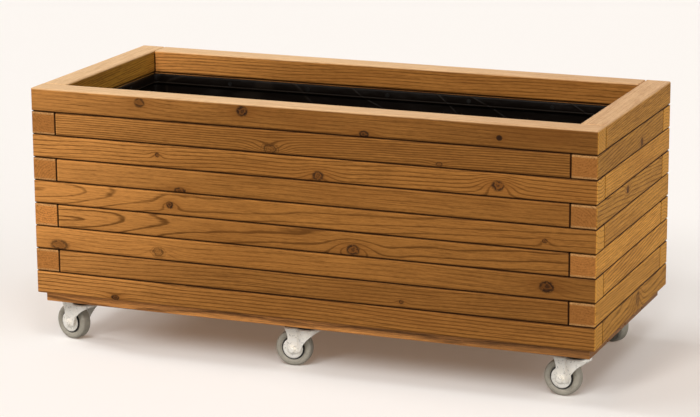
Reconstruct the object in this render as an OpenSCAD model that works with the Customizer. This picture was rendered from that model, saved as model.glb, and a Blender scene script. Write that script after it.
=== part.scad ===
// Rolling planter: nine stacked courses of timber beams on a board floor, lined with black film
// and carried by six swivelling plate casters.
// Millimetres, +Z up, -Y is the front, origin on the ground under the middle of the box.

/* [Timber box] */
// Outside length of the box
box_l = 1200; // [900:10:1600]
// Outside depth of the box, front to back
box_d = 516; // [440:2:700]
// Height of one course of beams
course_h = 48; // [42:1:60]
// Width of a beam, which is the thickness of the wall
beam_w = 53; // [44:1:70]
// Rounding along a beam's long arrises
arris_r = 5; // [1:0.5:8]
// Rounding of the arrises round a beam's end
end_r = 4; // [0.5:0.5:6]
// Gap left where one beam butts against another
butt_gap = 0.5; // [0.2:0.1:2]

/* [Dowels] */
// Diameter of the dowels that pin each course to the next
dowel_d = 10; // [6:1:14]
// Length of a dowel
dowel_l = 38; // [24:2:38]
// Distance from a wall's inner corner to its first dowel
dowel_in = 85; // [60:5:110]

/* [Floor] */
// Thickness of the floor boards
board_t = 20; // [16:1:28]
// Distance that the floor stands in from the faces of the box
board_inset = 14; // [8:1:28]
// Number of floor boards side by side
board_count = 4; // [3:1:5]
// Drain gap between two floor boards
board_gap = 5; // [2:0.5:8]
// Rounding along the floor boards' arrises
board_r = 3; // [0.5:0.5:4]
// Length of the countersunk screws that hold the floor
floor_screw_l = 45; // [36:1:55]
// Diameter of those screws
floor_screw_d = 5; // [4:0.5:6]

/* [Liner] */
// Thickness of the liner film, folded at its corners
liner_t = 1.5; // [1:0.1:3]
// Height of the folded hem round the liner's mouth
hem_h = 22; // [12:1:30]
// Thickness that the hem adds to the film
hem_t = 1.5; // [1:0.1:3]
// Gap between the hem and the top course
hem_drop = 2; // [1:0.5:8]
// Diameter of the tacks' heads
tack_head_d = 9; // [6:0.5:12]
// Diameter of the tacks' shanks
tack_d = 2.5; // [2:0.1:3.5]
// Length of the tacks' shanks
tack_l = 18; // [12:1:20]

/* [Casters] */
// Height of a caster from the ground to the top of its plate
caster_h = 95; // [93:1:105]
// Diameter of a wheel
wheel_d = 75; // [66:1:78]
// Width of a tyre
tyre_w = 25; // [20:1:26]
// Distance from a swivel axis to its axle
trail = 30; // [26:1:34]
// Distance of the swivel axes from the front and back faces
caster_y_in = 72; // [66:1:90]
// Distance of the front left swivel axis from the left end
left_x_in = 70; // [56:1:120]
// Distance of the front right swivel axis from the right end
right_x_in = 54; // [53:1:120]
// Distance of the back swivel axes from the ends
back_x_in = 71; // [56:1:120]
// Place of the middle pair's swivel axes, from the middle of the box
middle_x = -21; // [-80:1:80]

/* [Caster parts] */
// Side of the square mounting plate
plate_w = 60; // [56:1:62]
// Thickness of the mounting plate
plate_t = 2.5; // [2:0.5:3]
// Corner radius of the mounting plate
plate_r = 6; // [3:1:8]
// Distance between the plate's screw holes
plate_hole_pitch = 46; // [44:1:48]
// Diameter of the screws that hold the plate
plate_screw_d = 5; // [4:0.5:5.5]
// Length of those screws under the head
plate_screw_l = 18; // [12:1:18]
// Thickness of the fork's pressed sheet
fork_t = 2.5; // [2:0.1:3]
// Radius of the fork's crown round the swivel axis
crown_r = 27; // [25:0.5:28]
// Rounding of the fork's shoulder
shoulder_r = 6; // [4:0.5:7]
// Space between the fork's legs
fork_gap = 33; // [32:0.5:36]
// Radius of the hollow curve of the fork's leading edge
lead_edge_r = 66; // [50:1:120]
// Diameter of the kingpin
kingpin_d = 10; // [8:0.5:12]
// Diameter of the race balls
ball_d = 5; // [4:0.5:5.5]
// Number of balls in a race
ball_count = 14; // [8:1:18]
// Diameter of the axle bolt
axle_d = 8; // [6:0.5:10]
// Diameter of the thread guards beside the wheel
guard_d = 42; // [36:1:44]
// Diameter of the wheel's rim under the tyre
rim_d = 49; // [46:1:54]

/* [Swivel at rest] */
// Direction in which the front left wheel trails, from +X
front_left_turn = 165; // [0:1:359]
// Direction in which the front middle wheel trails
front_middle_turn = 184; // [0:1:359]
// Direction in which the front right wheel trails
front_right_turn = 175; // [0:1:359]
// Direction in which the back left wheel trails
back_left_turn = 176; // [0:1:359]
// Direction in which the back middle wheel trails
back_middle_turn = 163; // [0:1:359]
// Direction in which the back right wheel trails
back_right_turn = 152; // [0:1:359]

/* [Hidden] */
$fn = 64;
COURSES = 9; // course 1 is the top one, with the rim
CASTERS = ["front_left", "front_middle", "front_right", "back_left", "back_middle", "back_right"];

cut = 1; // how far a cutting shape runs past the face that it cuts
fit = 0.05; // radial clearance of a pin in its hole
touch = 0.1; // clearance between faces that meet without pressing

// Levels, from the ground up
floor_z = caster_h + board_t;
box_top = floor_z + COURSES * course_h;
function course_top(k) = box_top - (k - 1) * course_h;
function course_bottom(k) = box_top - k * course_h;

// Places of the dowels in plan: at the four corners and along each wall
corner_x = (box_l - beam_w) / 2;
corner_y = (box_d - beam_w) / 2;
wall_x = box_l / 2 - beam_w - dowel_in;
wall_y = box_d / 2 - beam_w - dowel_in;
hole_depth = dowel_l / 2 + cut;

// Floor boards and the screws that hold them to the lowest course
floor_l = box_l - 2 * board_inset;
floor_d = box_d - 2 * board_inset;
board_w = (floor_d - (board_count - 1) * board_gap) / board_count;
function board_y(i) = -floor_d / 2 + board_w / 2 + i * (board_w + board_gap);
screw_edge = 14; // distance from a board's end or edge to the screws
edge_screw_x = [-0.34, -0.17, 0.17, 0.34] * box_l;
end_screw_x = floor_l / 2 - screw_edge;
edge_screw_y = floor_d / 2 - screw_edge;
function end_screw_ys(i) = [for (s = [-1, 1]) board_y(i) + s * (board_w / 2 - screw_edge)];
floor_screw_points = concat(
    [for (i = [0:board_count - 1], x = [-1, 1], y = end_screw_ys(i)) [x * end_screw_x, y]],
    [for (x = edge_screw_x, y = [-1, 1]) [x, y * edge_screw_y]]
);
floor_head_d = 1.9 * floor_screw_d;

// Liner and its tacks
liner_l = box_l - 2 * beam_w - 2 * touch;
liner_d = box_d - 2 * beam_w - 2 * touch;
liner_top = course_bottom(1) - hem_drop;
hem_full_t = liner_t + hem_t;
tack_z = liner_top - hem_h / 2;
tack_head_t = 1.2;
tack_xs = [for (i = [-2:2]) i * liner_l / 6];
tack_ys = [for (i = [-1, 1]) i * liner_d / 5];

// Casters: swivel axes in the order of the names
front_x = [left_x_in - box_l / 2, middle_x, box_l / 2 - right_x_in];
back_x = [back_x_in - box_l / 2, middle_x, box_l / 2 - back_x_in];
caster_y = box_d / 2 - caster_y_in;
caster_points = concat([for (x = front_x) [x, -caster_y]], [for (x = back_x) [x, caster_y]]);
caster_turns = [
    front_left_turn, front_middle_turn, front_right_turn,
    back_left_turn, back_middle_turn, back_right_turn
];

// Levels of a caster
wheel_r = wheel_d / 2;
plate_z = caster_h - plate_t;
race_rise = 9.5; // from the fork's crown up to the plate
crown_z = plate_z - race_rise;
crown_under = crown_z - fork_t;
race_r = 17; // pitch radius of the ball race
race_wall = 5.5; // width of the pressed race on each side of the balls
ball_z = crown_z + ball_d / 2 + touch;
race_z = ball_z + 0.5; // underside of the pressed race
washer_t = 2;
washer_d = 26;
nut_h = 5;
kingpin_head_d = 16;
pin_end = 1.5; // how far a bolt's end stands past its nut
leg_out = fork_gap / 2 + fork_t;
leg_back = 9; // from the axle to the leg's trailing edge
leg_flare = 7; // how far that edge flares out on its way up to the crown
leg_flare_z = 18; // from the axle up to where the flare starts
leg_end_r = 20; // rounding of the leg's lower end
leg_end_drop = 7.5; // from the axle down to the leg's end
leg_wide = 6; // from the axle up to where that rounding has passed the leg's edges
leg_front = 20; // from the axle forward to the leg's leading edge, at the axle's height
notch_r = 14; // hollow in the crown's trailing edge, over the wheel
notch_out = 4; // from the trailing edge out to the hollow's centre
leg_floor = 10; // level from which the leg's blank is drawn
tip_rise = 6.5; // height of the fork's skirt at its leading tip
bolt_head_h = 5;
guard_t = 1.2;
guard_flat_d = 18; // part of the thread guard that the leg bears on
guard_dish = 1.9; // how far the guard steps in towards the wheel
guard_lip = 1.4; // how far its edge turns in beyond that
sleeve_d = 12;
hub_boss_d = 16;
hub_web_t = 8;
hub_rim_t = 4;
hub_w = 20; // width of the hub's rim, and of the tyre where it grips it
hub_play = 0.4; // end play of the hub between its thread guards
tyre_shoulder_r = 6;
tyre_bead = 3.5; // height over which the tyre's side swells to its full width

timber = [0.72, 0.47, 0.25];
board_timber = [0.66, 0.38, 0.17];
dowel_timber = [0.80, 0.65, 0.44];
film = [0.05, 0.05, 0.06];
zinc = [0.80, 0.79, 0.76];
steel = [0.62, 0.62, 0.62];
rubber = [0.50, 0.48, 0.43];
nylon = [0.16, 0.15, 0.14];

// ---- shared shapes ----

module rounded_rect(w, h, r) {
    square([w - 2 * r, h], center = true);
    square([w, h - 2 * r], center = true);
    for (x = [-1, 1], y = [-1, 1]) {
        translate([x * (w / 2 - r), y * (h / 2 - r)]) circle(r = r);
    }
}

// A stick along X, centred, with rounded long arrises and eased ends
module stick(l, w, h, r, ease) {
    intersection() {
        rotate([90, 0, 90]) linear_extrude(l, center = true) rounded_rect(w, h, r);
        linear_extrude(h + cut, center = true) rounded_rect(l, w, ease);
        rotate([90, 0, 0]) linear_extrude(w + cut, center = true) rounded_rect(l, h, ease);
    }
}

// A countersunk screw with its point up and its head's flat face at z = 0
module countersunk_screw(d, l, head_d) {
    cylinder(h = l - d, d = d);
    translate([0, 0, l - d]) cylinder(h = d, d1 = d, d2 = d / 4);
    cylinder(h = (head_d - d) / 2, d1 = head_d, d2 = d);
}

module hexagon(across, h) {
    cylinder(h = h, d = across / cos(30), $fn = 6);
}

// ---- timber courses ----

// Dowel bores in one course's beams at the given points, down into it and up from below
module dowel_bores(k, points) {
    for (p = points) {
        if (k > 1) {
            translate([p[0], p[1], course_top(k) - hole_depth])
                cylinder(h = hole_depth + cut, d = dowel_d + 2 * fit);
        }
        if (k < COURSES) {
            translate([p[0], p[1], course_bottom(k) - cut])
                cylinder(h = hole_depth + cut, d = dowel_d + 2 * fit);
        }
    }
}

// The floor's screws bite into the lowest course, and the liner's tacks into the second
module fixing_bores(k) {
    if (k == COURSES) {
        for (p = floor_screw_points) {
            translate([p[0], p[1], caster_h])
                cylinder(h = floor_screw_l + cut, d = floor_screw_d + 2 * fit);
        }
    }
    if (k == 2) tack_shanks(tack_d + 2 * fit, tack_l + cut);
}

// A wall along X: the full length in front on odd courses and at the back on even ones
module long_wall(k, side, through) {
    l = through ? box_l : box_l - 2 * beam_w - 2 * butt_gap;
    xs = through ? [-corner_x, -wall_x, wall_x, corner_x] : [-wall_x, wall_x];
    color(timber) difference() {
        translate([0, side * corner_y, course_bottom(k) + course_h / 2])
            stick(l, beam_w, course_h, arris_r, end_r);
        dowel_bores(k, [for (x = xs) [x, side * corner_y]]);
        fixing_bores(k);
    }
}

module course_front(k) {
    long_wall(k, -1, k % 2 == 1);
}

module course_back(k) {
    long_wall(k, 1, k % 2 == 0);
}

// The two end walls: they run through to the back on odd courses and to the front on even ones
module course_sides(k) {
    through = k % 2 == 1 ? 1 : -1;
    l = box_d - beam_w - butt_gap;
    y = through * (beam_w + butt_gap) / 2;
    for (end = [-1, 1]) {
        color(timber) difference() {
            translate([end * corner_x, y, course_bottom(k) + course_h / 2])
                rotate([0, 0, 90]) stick(l, beam_w, course_h, arris_r, end_r);
            dowel_bores(k, [for (py = [-wall_y, wall_y, through * corner_y]) [end * corner_x, py]]);
            fixing_bores(k);
        }
    }
}

module dowels() {
    plan = concat(
        [for (x = [-1, 1], y = [-1, 1]) [x * corner_x, y * corner_y]],
        [for (x = [-1, 1], y = [-1, 1]) [x * wall_x, y * corner_y]],
        [for (x = [-1, 1], y = [-1, 1]) [x * corner_x, y * wall_y]]
    );
    color(dowel_timber) for (k = [1:COURSES - 1], p = plan) {
        translate([p[0], p[1], course_bottom(k) - dowel_l / 2]) cylinder(h = dowel_l, d = dowel_d);
    }
}

// ---- floor ----

module floor_boards() {
    color(board_timber) difference() {
        for (i = [0:board_count - 1]) {
            translate([0, board_y(i), caster_h + board_t / 2])
                stick(floor_l, board_w, board_t, board_r, board_r / 2);
        }
        for (p = floor_screw_points) {
            translate([p[0], p[1], caster_h]) {
                translate([0, 0, -cut])
                    cylinder(h = board_t + 2 * cut, d = floor_screw_d + 2 * fit);
                translate([0, 0, -fit])
                    cylinder(
                        h = (floor_head_d - floor_screw_d) / 2 + fit,
                        d1 = floor_head_d + 2 * fit,
                        d2 = floor_screw_d + 2 * fit
                    );
            }
        }
        for (p = caster_points) {
            translate([p[0], p[1], caster_h - cut])
                plate_holes()
                    cylinder(h = plate_screw_l + cut - plate_t + fit, d = plate_screw_d + 2 * fit);
        }
    }
}

module floor_screws() {
    color(steel) for (p = floor_screw_points) {
        translate([p[0], p[1], caster_h]) countersunk_screw(floor_screw_d, floor_screw_l, floor_head_d);
    }
}

// ---- liner ----

// Shapes the tacks' shanks, or their holes, with the given diameter and length
module tack_shanks(d, l) {
    for (s = [-1, 1]) {
        for (x = tack_xs) {
            translate([x, s * (liner_d / 2 - hem_full_t), tack_z])
                rotate([-s * 90, 0, 0]) cylinder(h = l + hem_full_t, d = d);
        }
        for (y = tack_ys) {
            translate([s * (liner_l / 2 - hem_full_t), y, tack_z])
                rotate([0, s * 90, 0]) cylinder(h = l + hem_full_t, d = d);
        }
    }
}

module liner() {
    h = liner_top - floor_z;
    color(film) difference() {
        translate([-liner_l / 2, -liner_d / 2, floor_z]) cube([liner_l, liner_d, h]);
        translate([-liner_l / 2 + liner_t, -liner_d / 2 + liner_t, floor_z + liner_t])
            cube([liner_l - 2 * liner_t, liner_d - 2 * liner_t, h - hem_h - liner_t]);
        translate([-liner_l / 2 + hem_full_t, -liner_d / 2 + hem_full_t, floor_z + liner_t])
            cube([liner_l - 2 * hem_full_t, liner_d - 2 * hem_full_t, h]);
        tack_shanks(tack_d + 2 * fit, tack_l);
    }
}

module liner_tacks() {
    color(steel) {
        tack_shanks(tack_d, tack_l);
        for (s = [-1, 1]) {
            for (x = tack_xs) {
                translate([x, s * (liner_d / 2 - hem_full_t), tack_z])
                    rotate([s * 90, 0, 0]) cylinder(h = tack_head_t, d = tack_head_d);
            }
            for (y = tack_ys) {
                translate([s * (liner_l / 2 - hem_full_t), y, tack_z])
                    rotate([0, -s * 90, 0]) cylinder(h = tack_head_t, d = tack_head_d);
            }
        }
    }
}

// ---- casters: the fixed top ----

module plate_holes() {
    for (x = [-1, 1], y = [-1, 1]) {
        translate([x * plate_hole_pitch / 2, y * plate_hole_pitch / 2, 0]) children();
    }
}

// Plate with the ball race pressed down from it, in section a bowl with a groove for the balls
module caster_plate() {
    difference() {
        union() {
            translate([0, 0, plate_z]) linear_extrude(plate_t) rounded_rect(plate_w, plate_w, plate_r);
            translate([0, 0, race_z])
                cylinder(h = plate_z - race_z + fit, r1 = race_r + race_wall - 2, r2 = race_r + race_wall);
        }
        translate([0, 0, race_z - cut]) cylinder(h = caster_h, d = kingpin_d + 2 * fit);
        translate([0, 0, plate_z]) cylinder(h = plate_t + cut, d = kingpin_head_d + 2 * fit);
        rotate_extrude() translate([race_r, ball_z]) circle(d = ball_d + 2 * touch);
        translate([0, 0, plate_z - cut])
            plate_holes() cylinder(h = plate_t + 2 * cut, d = plate_screw_d + 4 * fit);
    }
}

module caster_plates() {
    color(zinc) for (p = caster_points) translate([p[0], p[1], 0]) caster_plate();
}

module caster_screws() {
    head_h = 3.5;
    color(zinc) for (p = caster_points) {
        translate([p[0], p[1], plate_z]) plate_holes() {
            translate([0, 0, -head_h]) hexagon(1.6 * plate_screw_d, head_h);
            cylinder(h = plate_screw_l - plate_screw_d, d = plate_screw_d);
            translate([0, 0, plate_screw_l - plate_screw_d])
                cylinder(h = plate_screw_d, d1 = plate_screw_d, d2 = plate_screw_d / 4);
        }
    }
}

// Kingpin with its riveted head in the plate, and the washer and nut that carry the crown
module kingpins() {
    washer_z = crown_under - touch - washer_t;
    color(steel) for (p = caster_points) {
        translate([p[0], p[1], 0]) {
            translate([0, 0, washer_z - nut_h - pin_end])
                cylinder(h = plate_z - washer_z + nut_h + pin_end, d = kingpin_d);
            translate([0, 0, plate_z]) cylinder(h = plate_t - touch, d = kingpin_head_d);
            translate([0, 0, washer_z]) cylinder(h = washer_t, d = washer_d);
            translate([0, 0, washer_z - nut_h]) hexagon(1.6 * kingpin_d, nut_h);
        }
    }
}

module ball_races() {
    color(steel) for (p = caster_points, i = [0:ball_count - 1]) {
        translate([p[0], p[1], ball_z])
            rotate([0, 0, i * 360 / ball_count]) translate([race_r, 0, 0]) sphere(d = ball_d);
    }
}

// ---- casters: what swivels, drawn with the wheel trailing towards +X from the swivel axis ----

module at_caster(i) {
    translate([caster_points[i][0], caster_points[i][1], 0]) rotate([0, 0, caster_turns[i]]) children();
}

// Places a shape that is drawn round the Z axis round the wheel's axle instead
module at_axle() {
    translate([trail, 0, wheel_r]) rotate([90, 0, 0]) children();
}

// The fork's blank, shrunk by t: a round cup about the swivel axis that runs into a channel over
// the wheel, both with the same rounded shoulder
module fork_blank(t) {
    r = crown_r - t;
    half = leg_out - t;
    top = crown_z - t;
    bend = shoulder_r - t;
    rotate_extrude() {
        translate([0, leg_floor]) square([r, top - leg_floor - bend]);
        translate([0, leg_floor]) square([r - bend, top - leg_floor]);
        translate([r - bend, top - bend]) intersection() {
            circle(r = bend);
            square(bend);
        }
    }
    rotate([90, 0, 90]) linear_extrude(trail + leg_back + leg_flare + t) {
        translate([-half, leg_floor]) square([2 * half, top - leg_floor - bend]);
        translate([-half + bend, leg_floor]) square([2 * (half - bend), top - leg_floor]);
        for (s = [-1, 1]) translate([s * (half - bend), top - bend]) circle(r = bend);
    }
}

// Side view of the fork: a trailing edge that flares out to the crown, a blunt round end, and a
// hollow leading edge that runs up to the tip
module fork_side() {
    tip = [-crown_r, crown_z - tip_rise];
    foot = [trail - leg_front, wheel_r];
    chord = tip - foot;
    half = norm(chord) / 2;
    normal = [chord[1], -chord[0]] / norm(chord);
    centre = (tip + foot) / 2 - normal * sqrt(lead_edge_r * lead_edge_r - half * half);
    end_z = wheel_r - leg_end_drop + leg_end_r;
    back = trail + leg_back;
    flare_z = wheel_r + leg_flare_z;
    flare_h = crown_under - flare_z;
    flare_r = (flare_h * flare_h + leg_flare * leg_flare) / (2 * leg_flare);
    difference() {
        union() {
            translate([trail + (leg_back - leg_front) / 2, end_z]) circle(r = leg_end_r);
            translate([-crown_r - cut, wheel_r + leg_wide])
                square([crown_r + back + leg_flare + cut, crown_z]);
        }
        translate([back, leg_floor - cut]) square([leg_end_r, flare_z - leg_floor + cut]);
        translate([back + flare_r, flare_z]) circle(r = flare_r, $fn = 180);
        translate(centre) circle(r = lead_edge_r, $fn = 180);
    }
}

module fork(i) {
    color(zinc) at_caster(i) difference() {
        intersection() {
            difference() {
                fork_blank(0);
                fork_blank(fork_t);
            }
            rotate([90, 0, 0]) linear_extrude(3 * crown_r, center = true) fork_side();
        }
        translate([0, 0, crown_under - cut]) cylinder(h = fork_t + 2 * cut, d = kingpin_d + 2 * fit);
        translate([trail + leg_back + leg_flare + notch_out, 0, crown_under - cut])
            cylinder(h = fork_t + 2 * cut, r = notch_r);
        at_axle() cylinder(h = 3 * crown_r, d = axle_d + 2 * fit, center = true);
    }
}

// A dished disc between the fork's leg and the hub, in section from its bore to its turned rim
module thread_guard() {
    r = guard_d / 2;
    bore = axle_d / 2 + fit;
    flat = guard_flat_d / 2;
    dish = flat + 2 * guard_dish;
    outer = [
        [bore, 0], [flat, 0], [dish, -guard_dish],
        [r - 2 * guard_lip, -guard_dish], [r, -guard_dish - guard_lip]
    ];
    inner = [for (i = [len(outer) - 1:-1:0]) outer[i] - [0, guard_t]];
    rotate_extrude() polygon(concat(outer, inner));
}

// Axle bolt and nut, the sleeve that the hub turns on, and the two thread guards
module axle(i) {
    sleeve_l = fork_gap - 2 * guard_t - 2 * fit;
    pin_foot = leg_out + nut_h + pin_end;
    color(zinc) at_caster(i) at_axle() {
        translate([0, 0, leg_out]) hexagon(1.6 * axle_d, bolt_head_h);
        translate([0, 0, -pin_foot]) cylinder(h = pin_foot + leg_out + fit, d = axle_d);
        translate([0, 0, -leg_out - nut_h]) difference() {
            hexagon(1.6 * axle_d, nut_h);
            translate([0, 0, -cut]) cylinder(h = nut_h + 2 * cut, d = axle_d + 2 * fit);
        }
        difference() {
            cylinder(h = sleeve_l, d = sleeve_d, center = true);
            cylinder(h = sleeve_l + 2 * cut, d = axle_d + 2 * fit, center = true);
        }
        for (s = [0, 1]) mirror([0, 0, s]) translate([0, 0, fork_gap / 2]) thread_guard();
    }
}

// The wheel's core, in section a boss, a web and a rim
module hub(i) {
    boss = fork_gap / 2 - guard_t - hub_play;
    bore = sleeve_d / 2 + fit;
    rim = rim_d / 2;
    color(nylon) at_caster(i) at_axle() rotate_extrude() {
        translate([bore, -boss]) square([hub_boss_d / 2 - bore, 2 * boss]);
        translate([bore, -hub_web_t / 2]) square([rim - bore, hub_web_t]);
        translate([rim - hub_rim_t, -hub_w / 2]) square([hub_rim_t, hub_w]);
    }
}

module tyre(i) {
    rim = rim_d / 2;
    wall = rim + tyre_bead; // radius at which the side wall reaches its full width
    half = tyre_w / 2;
    clear = half + cut;
    color(rubber) at_caster(i) at_axle() rotate_extrude() intersection() {
        rounded_rect(wheel_d, tyre_w, tyre_shoulder_r);
        polygon([
            [rim, -hub_w / 2], [rim, hub_w / 2], [wall, half], [wall, clear],
            [wheel_r + cut, clear], [wheel_r + cut, -clear], [wall, -clear], [wall, -half]
        ]);
    }
}

for (k = [1:COURSES]) {
    course_front(k);
    course_back(k);
    course_sides(k);
}
dowels();
floor_boards();
floor_screws();
liner();
liner_tacks();
caster_plates();
caster_screws();
kingpins();
ball_races();
for (i = [0:len(CASTERS) - 1]) {
    fork(i);
    axle(i);
    hub(i);
    tyre(i);
}
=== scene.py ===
"""Looks of the rolling planter: stacked timber beams, a film liner and six plate casters.

The CAD nodes keep their shape and get procedural finishes. The liner, which is soft, is modelled
here as folded film and stands for its CAD node.
"""

import math
from dataclasses import dataclass

import bmesh
import bpy
from mathutils import Matrix, Vector, noise


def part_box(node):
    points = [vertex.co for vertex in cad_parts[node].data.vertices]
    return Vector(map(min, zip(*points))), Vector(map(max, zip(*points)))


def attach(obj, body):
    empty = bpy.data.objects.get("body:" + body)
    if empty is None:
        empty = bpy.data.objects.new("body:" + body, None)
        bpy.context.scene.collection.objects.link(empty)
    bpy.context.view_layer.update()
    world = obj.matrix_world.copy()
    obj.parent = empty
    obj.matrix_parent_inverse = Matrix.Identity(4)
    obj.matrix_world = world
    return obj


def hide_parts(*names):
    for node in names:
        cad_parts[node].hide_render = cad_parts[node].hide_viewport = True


bl_info = {
    "name": "Rolling planter",
    "version": (1, 0, 0),
    "blender": (4, 5, 0),
    "location": "View3D > Sidebar > Planter",
    "description": "Timber, film and caster finishes of a rolling planter",
    "category": "Object",
}

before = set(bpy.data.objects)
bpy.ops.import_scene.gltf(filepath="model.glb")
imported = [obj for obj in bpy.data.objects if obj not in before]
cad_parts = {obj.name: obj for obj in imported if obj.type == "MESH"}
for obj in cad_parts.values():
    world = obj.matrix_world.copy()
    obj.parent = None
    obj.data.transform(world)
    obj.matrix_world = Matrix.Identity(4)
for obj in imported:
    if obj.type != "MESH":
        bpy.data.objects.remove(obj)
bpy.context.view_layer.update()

BOX = "planter_box"
CORNERS = ("front_left", "front_middle", "front_right", "back_left", "back_middle", "back_right")
COURSES = 9
BOX_HALF_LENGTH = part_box("course_1_front")[1][0]
BOX_HALF_DEPTH = -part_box("course_1_front")[0][1]
BEAM_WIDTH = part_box("course_1_front")[1][1] + BOX_HALF_DEPTH


# ---- sizes and colours that a user would change ----


def colour(name, description, default):
    return bpy.props.FloatVectorProperty(
        name=name, description=description, subtype="COLOR", size=3, min=0, max=1, default=default
    )


def length(name, description, default, low=0.0, high=1.0):
    return bpy.props.FloatProperty(
        name=name,
        description=description,
        subtype="DISTANCE",
        unit="LENGTH",
        min=low,
        max=high,
        precision=4,
        default=default,
    )


def share(name, description, default, high=1.0):
    return bpy.props.FloatProperty(
        name=name, description=description, subtype="FACTOR", min=0, max=high, default=default
    )


class TimberLook(bpy.types.PropertyGroup):
    """Colours and grain of the oiled softwood"""

    early: colour("Early wood", "Pale wood between two growth lines", (0.437, 0.178, 0.038))
    # painted light: the side beams are the same wood as the front beams, drawn paler for the light
    # that the right wall catches
    side: colour("Side wood", "Pale wood of the side beams", (0.78, 0.360, 0.063))
    # painted shade: the left wall's inner face drawn darker for the shade it lies in
    painted_shade: colour("Shaded wood", "Pale wood of the left wall's inner face", (0.44, 0.213, 0.024))
    # painted light: the front beams drawn paler towards the left end and the top, where more light
    # falls
    painted_light: colour("Faded wood", "Wood where the oil has faded", (0.76, 0.320, 0.080))
    # painted light and sheen: the sanded top of the rim drawn paler for the light and sheen it
    # catches from above
    rim: colour("Rim", "Sanded top of the rim", (0.80, 0.520, 0.275))
    # darker rim wood for its grain, and painted shade towards its right end
    rim_grain_and_shade: colour("Aged rim", "Sanded top where it has aged", (0.50, 0.275, 0.130))
    sawn: colour("Cut end", "Pale wood of the cut ends", (0.414, 0.160, 0.038))
    # painted highlight: the rounded edges of the cut ends drawn paler where they catch light
    worn: colour("Worn edge", "Pale worn edges of the cut ends", (0.80, 0.48, 0.20))
    late: colour("Late wood", "Dark line of a growth ring", (0.140, 0.052, 0.010))
    red: colour("Red patches", "Broad warm patches in the oil", (0.235, 0.082, 0.015))
    knot: colour("Knot", "Middle tone of a knot", (0.085, 0.030, 0.009))
    knot_edge: colour("Knot edge", "Bark line round a knot", (0.030, 0.014, 0.007))
    # painted shade: the dark line in the gap between two beams
    joint_shade: colour("Joint", "Dark line between two beams", (0.026, 0.008, 0.003))
    board: colour("Board", "Pale wood of the floor boards", (0.64, 0.262, 0.064))
    joint_width: length("Joint line", "Width of the line along a beam's edge", 0.0026, high=0.01)
    fibre_depth: length("Fibre depth", "Height of the brushed fibres", 0.00025, high=0.002)
    sheen: share("Roughness", "Roughness of the oiled faces", 0.50)


class LinerLook(bpy.types.PropertyGroup):
    """Folded film that lines the box"""

    film: colour("Film", "Colour of the film", (0.0036, 0.0022, 0.0014))
    dust: colour("Dust", "Film under a little dust", (0.016, 0.012, 0.010))
    # painted highlight: film drawn paler along its hem and folds, where they catch light
    crease: colour("Crease", "Rubbed film along its hem and creases", (0.038, 0.027, 0.019))
    thickness: length("Thickness", "Thickness of the film", 0.0004, high=0.002)
    fold_round: length("Fold rounding", "Radius of the film's folds", 0.012, high=0.05)
    wave: length("Waves", "How far the film stands off the wall", 0.0045, high=0.02)
    cell: length("Cell", "Distance between the film's cuts", 0.018, low=0.008, high=0.05)
    hem: length("Hem", "Height of the turned-over hem", 0.022, high=0.05)
    roughness: share("Roughness", "Roughness of the film", 0.40)


class CasterLook(bpy.types.PropertyGroup):
    """Zinc, steel, rubber and moulded parts of the casters"""

    zinc: colour("Zinc", "Bright zinc plating", (1.0, 0.955, 0.88))
    # painted shade: the gaps under the plates, the tops of the forks and the balls drawn near-black
    # for the shade they lie in
    gap_shade: colour("Grease", "Grease on the races and under the plates", (0.020, 0.016, 0.012))
    steel: colour("Steel", "Plain steel of the kingpins and balls", (0.55, 0.54, 0.52))
    rubber: colour("Rubber", "Grey rubber of the tyres", (0.335, 0.300, 0.240))
    moulded: colour("Moulded core", "Dark moulded plastic of the hubs", (0.014, 0.012, 0.010))
    tack: colour("Tack", "Blackened heads of the liner's tacks", (0.0060, 0.0052, 0.0045))


class StageLook(bpy.types.PropertyGroup):
    """Floor, lamps and camera"""

    floor: colour("Floor", "Pale floor", (0.795, 0.800, 0.790))
    backdrop: colour("Backdrop", "What is seen beyond the floor", (0.991, 0.939, 0.896))
    sky: share("Sky", "Strength of the even light from all round", 0.19, high=4)
    front: share("Front", "What the tall soft lamp in front gives level ground", 1.38, high=10)
    left: share("Left", "What the tall soft lamp at the left gives level ground", 0.94, high=10)
    fill: share("Fill", "What the low fill light from the right gives level ground", 0.38, high=10)
    # painted light: a warm glow of the floor's own that stands in for the room's bounce light
    painted_glow: colour("Glow", "Warm light of the room, seen on the floor", (0.150, 0.099, 0.066))


# ---- shader nodes written as expressions ----


class Wire:
    """A shader socket that takes part in Python arithmetic; each step adds its Math node."""

    def __init__(self, finish, socket):
        self.finish = finish
        self.socket = socket

    def _math(self, operation, *values):
        return self.finish.node("ShaderNodeMath", {"operation": operation}, values)

    def __add__(self, other):
        return self._math("ADD", self, other)

    __radd__ = __add__

    def __sub__(self, other):
        return self._math("SUBTRACT", self, other)

    def __rsub__(self, other):
        return self._math("SUBTRACT", other, self)

    def __mul__(self, other):
        return self._math("MULTIPLY", self, other)

    __rmul__ = __mul__

    def __truediv__(self, other):
        return self._math("DIVIDE", self, other)

    def __abs__(self):
        return self._math("ABSOLUTE", self)

    def exp(self):
        return self._math("EXPONENT", self)

    def sign(self):
        return self._math("SIGN", self)

    def sine(self):
        return self._math("SINE", self)

    def fraction(self):
        return self._math("FRACT", self)

    def largest(self, other):
        return self._math("MAXIMUM", self, other)

    def smooth(self, start, end):
        """0 before start, 1 after end, smooth between them"""
        return self.finish.node(
            "ShaderNodeMapRange",
            {"interpolation_type": "SMOOTHSTEP"},
            {"Value": self, "From Min": start, "From Max": end},
        )


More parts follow.
